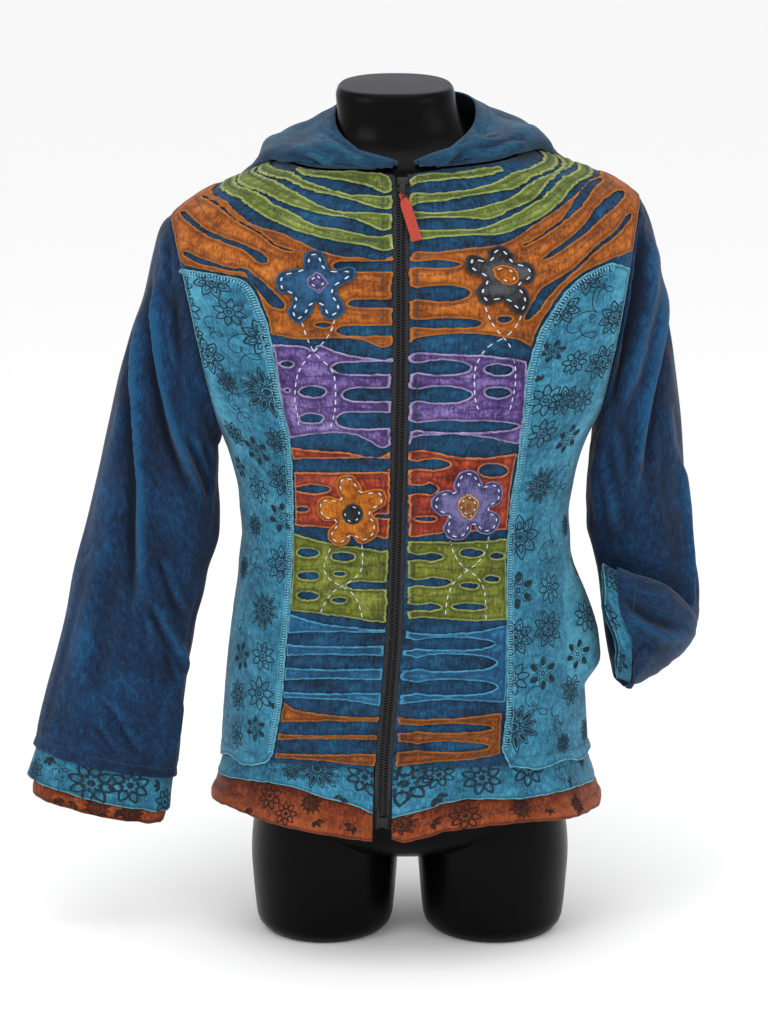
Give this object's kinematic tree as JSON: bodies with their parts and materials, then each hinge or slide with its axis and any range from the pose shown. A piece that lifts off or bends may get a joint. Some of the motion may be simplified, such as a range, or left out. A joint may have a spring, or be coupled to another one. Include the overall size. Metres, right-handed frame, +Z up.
{
  "type": "patchwork zip jacket with a hood on a display form",
  "caption": "Hooded cotton zip jacket with slashed patchwork fronts and sewn flowers, worn open at neck, cuffs and hem by a limbless black torso display form.",
  "frame": {"origin": "on the floor below the middle of the whole object's box", "axes": "+Z up, -Y the way the zip faces, +X to the wearer's left"},
  "size_m": [0.6792, 0.325, 0.8678],
  "materials": {
    "teal_jersey": "stonewashed cotton jersey, matt with paler worn places",
    "teal_jersey_hood": "stonewashed cotton jersey, a little paler than the sleeves",
    "green_jersey": "stonewashed cotton jersey with raw rolled edges",
    "orange_jersey": "stonewashed cotton jersey with raw rolled edges",
    "purple_jersey": "stonewashed cotton jersey with raw rolled edges",
    "red_jersey": "stonewashed cotton jersey with raw rolled edges",
    "olive_jersey": "stonewashed cotton jersey with raw rolled edges",
    "sky_jersey": "stonewashed cotton jersey with raw rolled edges",
    "denim_blue_jersey": "cotton jersey flower, edges hand stitched",
    "charcoal_jersey": "cotton jersey flower, edges hand stitched",
    "lavender_jersey": "cotton jersey flower, edges hand stitched",
    "brown_jersey": "cotton jersey dot with a raw rim",
    "printed_blue_jersey": "cotton jersey printed with dark line flowers",
    "printed_rust_jersey": "cotton jersey printed with dark line flowers",
    "black_zip_plastic": "moulded black plastic, satin",
    "black_zip_tape": "woven zip tape",
    "black_form_plastic": "smooth moulded black plastic, glossy",
    "red_pull_cloth": "bare red strip, matt"
  },
  "bodies": {
    "jacket": {"back": "teal_jersey", "blue_patch_left": "sky_jersey", "blue_patch_right": "sky_jersey", "cuff_orange_left": "printed_rust_jersey", "cuff_orange_right": "printed_rust_jersey", "cuff_print_left": "printed_blue_jersey", "cuff_print_right": "printed_blue_jersey", "display_form": "black_form_plastic", "flower_blue": "denim_blue_jersey", "flower_blue_centre": "lavender_jersey", "flower_charcoal": "charcoal_jersey", "flower_charcoal_centre": "orange_jersey", "flower_lavender": "lavender_jersey", "flower_lavender_centre": "brown_jersey", "flower_orange": "orange_jersey", "flower_orange_centre": "charcoal_jersey", "front_base_left": "teal_jersey", "front_base_right": "teal_jersey", "green_strip_left_1": "green_jersey", "green_strip_left_2": "green_jersey", "green_strip_left_3": "green_jersey", "green_strip_left_4": "green_jersey", "green_strip_right_1": "green_jersey", "green_strip_right_2": "green_jersey", "green_strip_right_3": "green_jersey", "green_strip_right_4": "green_jersey", "hem_band_orange": "printed_rust_jersey", "hem_band_print": "printed_blue_jersey", "hood_left": "teal_jersey_hood", "hood_right": "teal_jersey_hood", "olive_patch_left": "olive_jersey", "olive_patch_right": "olive_jersey", "orange_patch_left": "orange_jersey", "orange_patch_right": "orange_jersey", "orange_yoke_left": "orange_jersey", "orange_yoke_right": "orange_jersey", "purple_patch_left": "purple_jersey", "purple_patch_right": "purple_jersey", "red_patch_left": "red_jersey", "red_patch_right": "red_jersey", "side_panel_left": "printed_blue_jersey", "side_panel_right": "printed_blue_jersey", "sleeve_left": "teal_jersey", "sleeve_right": "teal_jersey", "zip_chain": "black_zip_plastic", "zip_slider": "black_zip_plastic", "zip_tape_left": "black_zip_tape", "zip_tape_right": "black_zip_tape"},
    "zip_pull": {"zip_pull_tab": "black_zip_plastic", "zip_pull_strip": "red_pull_cloth"}
  },
  "joints": [
    {"name": "zip_pull_hinge", "type": "hinge", "parent": "jacket", "child": "zip_pull", "pos_m": [0.0384, -0.09365, 0.76806], "axis": [-1, -0.0008, -0.0017], "range_deg": [0, 150]}
  ]
}
